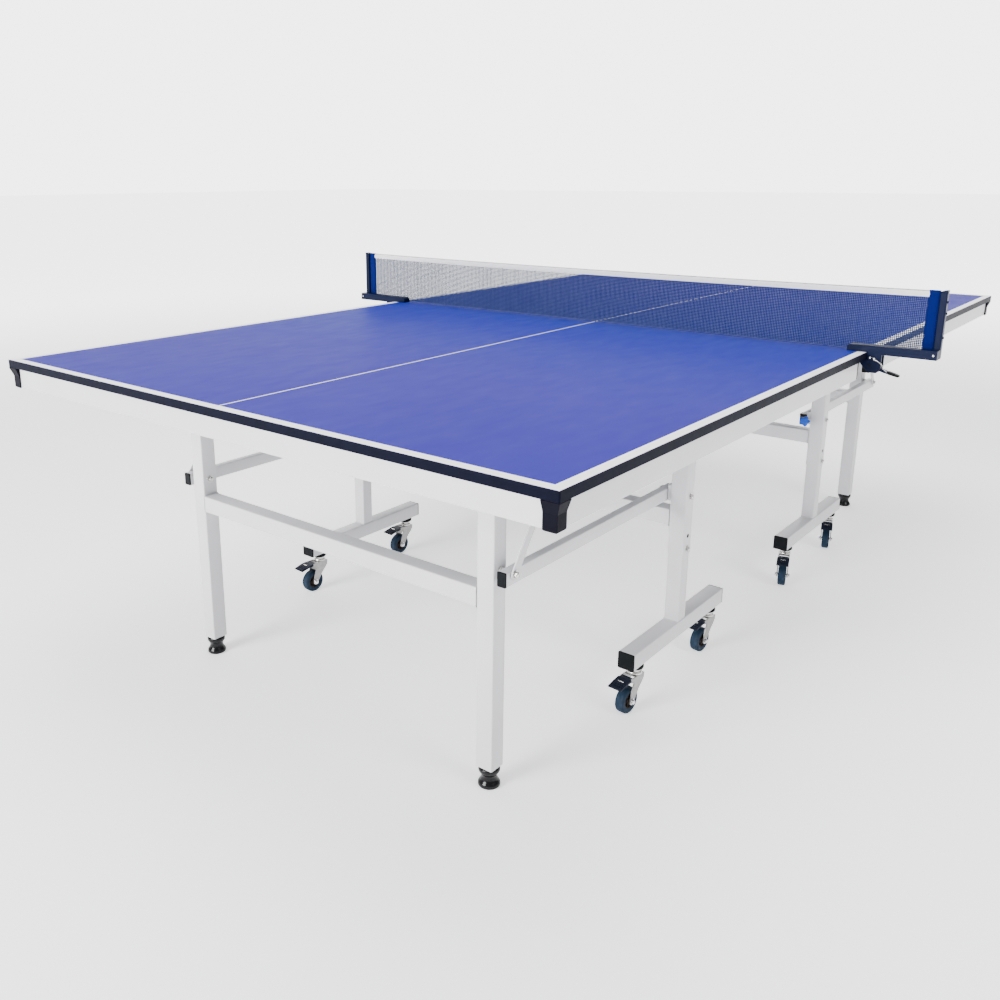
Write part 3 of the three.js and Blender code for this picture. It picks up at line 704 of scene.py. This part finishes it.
# ---- Casters: one set of meshes, used eight times ------------------------------------------------
def caster_shapes():
    """Each caster piece as (word, mesh, material, slot, body prefix, replaced node prefix, bevel)."""
    made = []

    def keep(word, shape, material, slot, body, replaced=None, bevel=0.0):
        bmesh.ops.recalc_face_normals(shape.bm, faces=shape.bm.faces)
        data = bpy.data.meshes.new(f"caster_{word}")
        shape.bm.to_mesh(data)
        shape.bm.free()
        made.append((word, data, material, slot, body, replaced, bevel))

    dome = [(0, 111.6), (15, 111.6), (19, 111), (20.5, 109), (20.5, 105.5), (19.5, 102.5), (16.5, 100.5),
            (0, 100.5)]
    keep("dome", Shape().turned("z", dome), BLACK, "lever_plastic", "caster")
    race = [(0, 100.6), (13, 100.6), (14.6, 99.5), (14.6, 96.8), (13.2, 96), (13.2, 94.6), (16.4, 93.6),
            (17.4, 91.6), (17.2, 89.4), (15.5, 87.8), (0, 87.8)]
    keep("swivel_race", Shape().turned("z", race), BRIGHT, "zinc_plate", "caster")
    axis = (-TRAIL, WHEEL_R)
    fork = Shape()
    hub = [(-TRAIL + AXLE_EYE * math.cos(t), WHEEL_R + AXLE_EYE * math.sin(t))
           for t in (math.pi * (1 + 0.9 * i / 14) for i in range(15))]
    cheek = [(-34, 88), (-34, 80), (-30, 77), (-22, 75), (-25, 67), (-31.5, 52), *hub, (-2, 56), (10, 68),
             (16, 77), (17, 88)]
    for side in (1, -1):
        fork.plate("y", strip(side, 13, 15.5), [cheek])
    fork.plate("z", (85.6, 88), [[(17, -13), (17, 13), (-16, 13), (-16, -13)]])
    fork.plate("x", (14.5, 17), [[(-13, 79), (13, 79), (13, 85.6), (-13, 85.6)]])
    keep("fork", fork, ZINC, "zinc_plate", "caster", "caster_fork", bevel=1.1)
    axle = Shape().rod("y", (-13, 13), 4.4, axis, 20)
    for way in (1, -1):
        hex_bolt(axle, "y", way * 15.5, way, axis, 6, 3.6, 7.5)
    keep("axle", axle, CHROME, "zinc_plate", "caster", bevel=0.35)
    r, w = WHEEL_R, WHEEL_HALF
    shoulder = [(18.5, 0.8), (22, 0), (28, 0.3), (30, 1.5), (30.8, 3.4), (r, 6)]
    tyre = [(reach, -w + inset) for reach, inset in shoulder]
    tyre += [(reach, w - inset) for reach, inset in reversed(shoulder)] + [(18.5, -w + 0.8)]
    keep("tyre", Shape().turned("y", tyre, axis, 56), TYRE, "caster_tyre", "wheel",
         "caster_wheel")
    side = [(4.8, -w + 0.2), (8.6, -w + 0.2), (9.4, -w + 1), (9.6, -4), (15.6, -3.4), (16.6, -w + 1.8),
            (18.6, -w + 1.2)]
    rim = side + [(reach, -level) for reach, level in reversed(side)] + side[:1]
    hub_shape = Shape().turned("y", rim, axis, 48)
    for i in range(6):
        angle = math.pi * i / 3
        across = Vector((-math.sin(angle), math.cos(angle))) * 1.3
        out = Vector((math.cos(angle), math.sin(angle)))
        centre = Vector(axis)
        ribs = [centre + out * 9.2 + across, centre + out * 9.2 - across, centre + out * 16.4 - across,
                centre + out * 16.4 + across]
        for way in (1, -1):
            hub_shape.plate("y", strip(way, 3.2, w - 2.2), [[tuple(p) for p in ribs]])
    keep("hub", hub_shape, HUB, "caster_tyre", "wheel")
    pedal = Shape()
    blade = [(-35.6, 82), (-35.6, 87.2), (-44, 87.2), (-60, 84), (-73, 80.4), (-77, 79.6), (-78, 76.4),
             (-74, 75.8), (-60, 78.8), (-46, 81.4)]
    pedal.plate("y", (-17, 17), [blade])
    pedal.plate("y", (-12.5, 12.5), [[(-24.5, 81.6), (-24.5, 87), (-36, 87.2), (-36, 82)]])
    pedal.rod("y", (-12.5, 12.5), 3.7, (-27, 84), 20)
    keep("pedal", pedal, PEDAL, "brake_pedal", "brake", "caster_brake", bevel=1.2)
    mark = Shape().bar("y", (-7, 7), (-54.5, -51), (84.6, 86.8), 0.9)
    keep("pedal_mark", mark, BRIGHT, "brake_pedal", "brake")
    grips = Shape()
    for x, z in ((-61, 83.6), (-67, 82), (-73, 80.4)):
        grips.bar("y", (-14.5, 14.5), (x - 1.2, x + 1.2), (z - 1.2, z + 1.3), 0.9)
    keep("pedal_grips", grips, PEDAL, "brake_pedal", "brake")
    return made


def build_casters(half, turn, shapes):
    for word, side in SIDES.items():
        for place, reach in (("outer", -CASTER_REACH), ("inner", CASTER_REACH)):
            name = f"{half}_{word}_{place}"
            swivel = Matrix.Rotation(math.radians(CASTER_YAW[half]), 4, "Z")
            spot_on_bar = Matrix.Translation(Vector((WHEEL_X + reach, side * WHEEL_Y, 0)) * MM)
            for part, data, material, slot, body, replaced, bevel in shapes:
                finish_piece(f"{part}_{name}", data, material, f"{body}_{name}",
                             turn @ spot_on_bar @ swivel, bevel,
                             stands_for=[f"{replaced}_{name}"] if replaced else ())


def build_knob(half, turn):
    face = WHEEL_X + HALF_TUBE - 1
    centre = ((LINK_Y[1] + 1 + WHEEL_Y - HALF_TUBE) / 2, 460)
    head = [(0, face + 26), (5.5, face + 26), (7, face + 26.4), (12.4, face + 28), (13.4, face + 29.6),
            (13.7, face + 32), (13.7, face + 37), (13.2, face + 39.8), (11.6, face + 41.4), (7.5, face + 42),
            (6.6, face + 41.2), (0, face + 41)]
    knob = Shape().turned("x", head, centre, 80, lobes=5, depth=0.16)
    knob.piece(f"knob_{half}", KNOB, f"knob_{half}", "knob_plastic", turn, stands_for=[f"star_knob_{half}"])
    shank = screw_profile(face + 0.4, face + 26, r=4, depth=0.7, pitch=1.25)
    screw = Shape().turned("x", shank, centre, 20)
    screw.piece(f"knob_screw_{half}", ZINC, f"knob_{half}", "zinc_plate", turn)


# ---- Net ---------------------------------------------------------------------------------------
def sag(y):
    """How far the net's top has dropped at y."""
    return SAG * (1 - (y / NET_HALF) ** 2)


def build_net():
    body = "top_a"
    tape = ribbon([(-2.6, 898), (2.6, 898), (3, 904), (2.9, 909), (2.2, 911), (-2.2, 911), (-2.9, 909),
                   (-3, 904)], NET_HALF - 6)
    tape = tape.piece("top_tape", TAPE, body, "net_tape", stands_for=["net_tape"])
    cord = ribbon(circle(1.1, (0, 911.9), 10), NET_HALF - 4)
    cord = cord.piece("head_cord", CORD, body, "net_tape")
    mesh, thick = Shape(), STRAND_HALF
    columns = int(2 * (NET_HALF - 20) / STRAND_PITCH)
    height = TAPE_Z[0] + 1.5 - NET_BOTTOM
    for i in range(columns + 1):
        y = (i - columns / 2) * STRAND_PITCH
        lean = 0.12 * math.sin(i * 1.7)
        mesh.prism("z", (NET_BOTTOM, NET_BOTTOM + height - sag(y)),
                   [(thick, y - thick + lean), (thick, y + thick + lean), (-thick, y + thick - lean),
                    (-thick, y - thick - lean)])
    for row in range(STRAND_ROWS + 1):
        share = row / (STRAND_ROWS + 0.3)
        thread = [(thick, -thick), (thick, thick), (-thick, thick), (-thick, -thick)]
        run_along_net(mesh, NET_HALF - 14, 60,
                      lambda y: [(x, NET_BOTTOM + 0.7 + share * (height - sag(y)) + z) for x, z in thread])
    mesh = mesh.piece("net", STRAND, body, "net_mesh", stands_for=["net_mesh"])
    for word, side in SIDES.items():
        build_sleeve(word, side, body)
        build_post(word, side, body)
        build_lever(word, side)


def run_along_net(shape, reach, steps, section):
    """A closed band along Y from -reach to reach; section(y) is its outline in X and Z."""
    rings = []
    for i in range(steps + 1):
        y = (2 * i / steps - 1) * reach
        rings.append(shape.loop("y", y, section(y)))
    for low, high in zip(rings, rings[1:]):
        shape.wall(low, high)
    shape.bm.faces.new(rings[0])
    shape.bm.faces.new(list(reversed(rings[-1])))


def ribbon(outline, reach):
    """A band that follows the net's top from post to post."""
    shape = Shape()
    run_along_net(shape, reach, 90, lambda y: [(x, z - sag(y)) for x, z in outline])
    return shape


def build_sleeve(word, side, body):
    """The cloth pocket at the net's end that slips over the post's edge, a little puffed and uneven."""
    shape, levels, rings = Shape(), 30, []
    low, high = NET_BOTTOM + 1, 913.6
    middle, half = 886.6, 12.2
    for i in range(levels + 1):
        z = low + (high - low) * i / levels
        puff = 4.6 + 0.5 * math.sin(i * 1.3) - (0.8 if i in (0, levels) else 0)
        outline = []
        for step in range(28):
            angle = 2 * math.pi * step / 28
            u = puff * math.copysign(abs(math.sin(angle)) ** 0.6, math.sin(angle))
            v = side * (middle + half * math.cos(angle) + 0.15 * math.sin(i * 0.9))
            outline.append((u, v))
        rings.append(shape.loop("z", z, outline))
    for a, b in zip(rings, rings[1:]):
        shape.wall(a, b)
    shape.bm.faces.new(rings[0])
    shape.bm.faces.new(list(reversed(rings[-1])))
    return shape.piece(f"end_sleeve_{word}", SLEEVE, body, "net_mesh", smooth=60)


def build_post(word, side, body):
    post = Shape()
    shoulder = POST_Z[1] - 5
    post.bar("z", (POST_Z[0], shoulder), POST_X, strip(side, *POST_Y), 3)
    cap = [(side * POST_Y[0], shoulder), (side * POST_Y[0], shoulder + 1.5),
           (side * (POST_Y[1] - 6), POST_Z[1]), (side * POST_Y[1], POST_Z[1]), (side * POST_Y[1], shoulder)]
    post.prism("x", POST_X, cap)
    arm = [(side * ARM_Y, TOP_Z + 0.4), (side * ARM_Y, 773), (side * (ARM_Y + 6), 776),
           (side * POST_Y[1], ARM_Z[1]), (side * POST_Y[1], ARM_Z[0]), (side * CLAMP_BACK_Y[1], ARM_Z[0]),
           (side * CLAMP_BACK_Y[0], TOP_Z + 0.4)]
    post.prism("x", CLAMP_X, arm)
    post.piece(f"post_{word}", NAVY, body, "navy_paint", bevel=1.2, stands_for=[f"net_post_{word}"])
    cheeks = Shape()
    under = RAIL_Z[1] - 0.3
    near, far = CLAMP_BACK_Y
    cheek = [(side * v, z) for v, z in ((near, 762), (near, under), (746, under), (746, 737), (768, 712.2),
                                        (788, 712.2), (far, 722), (far, ARM_Z[0] + 2))]
    for x in ((CLAMP_X[0] + 0.1, CLAMP_X[0] + 6.6), (CLAMP_X[1] - 6.6, CLAMP_X[1] - 0.1)):
        cheeks.prism("x", x, cheek)
    cheeks.piece(f"clamp_cheeks_{word}", NAVY, body, "navy_paint", bevel=1.0)
    screws, holes = Shape(), Shape()
    face = CLAMP_X[0]
    for v, z in ((771, 748), (780, 747), (907, 768)):
        screws.turned("x", [(2.8, face + 0.5), (2.8, face - 0.4), (2.5, face - 1.1), (1.5, face - 1.7),
                            (0, face - 1.9)], (side * v, z), 16)
    screws.piece(f"clamp_rivets_{word}", BRIGHT, body, "zinc_plate")
    # Painted shade: a black disc on the cheek stands in for the shade inside the clamp's hole.
    holes.rod("x", (face - 0.15, face + 0.5), 2.6, (side * 772, 729), 18)
    holes.piece(f"clamp_hole_{word}", BLACK, body, "lever_plastic")
    cleats = Shape()
    for z in (888, 862, 806):
        cleats.turned("y", [(3.2, side * (POST_Y[1] - 1)), (3.2, side * (POST_Y[1] + 1.2)),
                            (2.2, side * (POST_Y[1] + 2.4)), (0, side * (POST_Y[1] + 2.7))], (0, z), 16)
    cleats.piece(f"post_studs_{word}", NAVY, body, "navy_paint")
    build_rod(word, side, body)


def build_rod(word, side, body):
    """The bent wire that reaches from the clamp's back to its lever."""
    curve = bpy.data.curves.new(f"clamp_wire_{word}", "CURVE")
    curve.dimensions, curve.bevel_depth, curve.bevel_resolution = "3D", 1.3 * MM, 4
    curve.use_fill_caps = True
    route = [(780, 745), (790, 741.5), (799, 735), (804, 726), (813, 719)]
    spline = curve.splines.new("BEZIER")
    spline.bezier_points.add(len(route) - 1)
    for point, (v, z) in zip(spline.bezier_points, route):
        point.co = Vector((CLAMP_X[0] - 2.2, side * v, z)) * MM
        point.handle_left_type = point.handle_right_type = "AUTO"
    curve.materials.append(BRIGHT)
    wire = bpy.data.objects.new(f"clamp_wire_{word}", curve)
    bpy.context.scene.collection.objects.link(wire)
    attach(wire, body)


def build_lever(word, side):
    body = f"clamp_{word}"
    lever = Shape()
    jaw = ((736, 741.4), (758, 741.4), (766, 735.8), (778, 732.8), (800, 722), (812, 718.4), (812, 711.6),
           (800, 714.4), (776, 722.2), (758, 732.2), (736, 736.2))
    profile = [(side * v, z) for v, z in jaw]
    lever.plate("x", (CLAMP_X[0] + 7.6, CLAMP_X[1] - 7.6), [profile])
    lever.piece(f"jaw_{word}", NAVY, body, "navy_paint", bevel=0.9, stands_for=[f"clamp_lever_{word}"])
    grip = Shape()
    tip = [(side * v, z) for v, z in ((812, 719), (826, 715.4), (837, 711.8), (838.4, 708.6), (836, 706.4),
                                      (826, 708.2), (812, 711))]
    grip.plate("x", (CLAMP_X[0] + 7, CLAMP_X[1] - 7), [tip])
    grip.piece(f"lever_grip_{word}", BLACK, body, "lever_plastic", bevel=1.6)


# ---- Floor and light -----------------------------------------------------------------------------
GLOW_SPAN, GLOW = (2.5, 8), (0.85, 3.4)
LAMPS = (("key", (-6.5, 1.2, 2.4), 3.0, 820), ("overhead", (0.5, 0, 5.5), 5, 380),
         ("side", (-1.0, -5.0, 3.8), 2.5, 190))


def studio_sky():
    """A white room, brighter toward +X and +Y and low down, so that uprights are lit more than tops."""
    world = bpy.data.worlds.new("studio")
    world.use_nodes = True
    tree = world.node_tree
    direction = tree.nodes.new("ShaderNodeTexCoord").outputs["Generated"]

    def graded(axis, low, high, dim, bright):
        lean = tree.nodes.new("ShaderNodeVectorMath")
        lean.operation = "DOT_PRODUCT"
        lean.inputs[1].default_value = axis
        tree.links.new(direction, lean.inputs[0])
        return map_range(tree, lean.outputs["Value"], (low, high), (dim, bright), smooth=True)

    blend = tree.nodes.new("ShaderNodeMath")
    blend.operation = "MULTIPLY"
    tree.links.new(graded((0.766, 0.643, 0), 0.3, 0.85, 0.42, 4.6), blend.inputs[0])
    tree.links.new(graded((0, 0, 1), 0.25, 0.6, 1.0, 0.3), blend.inputs[1])
    background = tree.nodes["Background"]
    background.inputs["Color"].default_value = (1, 1, 1, 1)
    tree.links.new(blend.outputs[0], background.inputs["Strength"])
    return world


def build_studio():
    """The lamps, and a white floor that glows more with distance, to meet the bright side of the sky."""
    m = Nodes("floor", roughness=0.9, Emission_Color=(1, 1, 1, 1))
    reach = m.tree.nodes.new("ShaderNodeVectorMath")
    reach.operation = "LENGTH"
    m.link(m.coords, reach.inputs[0])
    glow = map_range(m.tree, reach.outputs["Value"], GLOW_SPAN, GLOW, smooth=True)
    m.link(glow, m.shader.inputs["Emission Strength"])
    m.colour(m.ramp(m.noise(1.5, 4), [(0.3, (0.86, 0.86, 0.87)), (0.7, (0.88, 0.88, 0.89))]))
    floor = bpy.data.meshes.new("floor")
    far = 60
    floor.from_pydata([(-far, -far, 0), (far, -far, 0), (far, far, 0), (-far, far, 0)], [], [(0, 1, 2, 3)])
    floor.materials.append(m.material)
    floor = bpy.data.objects.new("floor", floor)
    bpy.context.scene.collection.objects.link(floor)
    bpy.context.scene.world = studio_sky()
    for name, place, size, power in LAMPS:
        light = bpy.data.lights.new(name, "AREA")
        light.shape, light.size, light.energy = "DISK", size, power
        lamp = bpy.data.objects.new(name, light)
        lamp.location = place
        aim = Vector((0, 0, 0.5)) - Vector(place)
        lamp.rotation_euler = aim.to_track_quat("-Z", "Y").to_euler()
        bpy.context.scene.collection.objects.link(lamp)


# ---- Everything ----------------------------------------------------------------------------------
CASTERS = caster_shapes()
for half, turn in HALVES.items():
    build_top(half, turn)
    build_under_frame(half, turn)
    build_end_frame(half, turn)
    build_wheel_frame(half, turn)
    build_links(half, turn)
    build_casters(half, turn, CASTERS)
    build_knob(half, turn)
build_net()
build_studio()
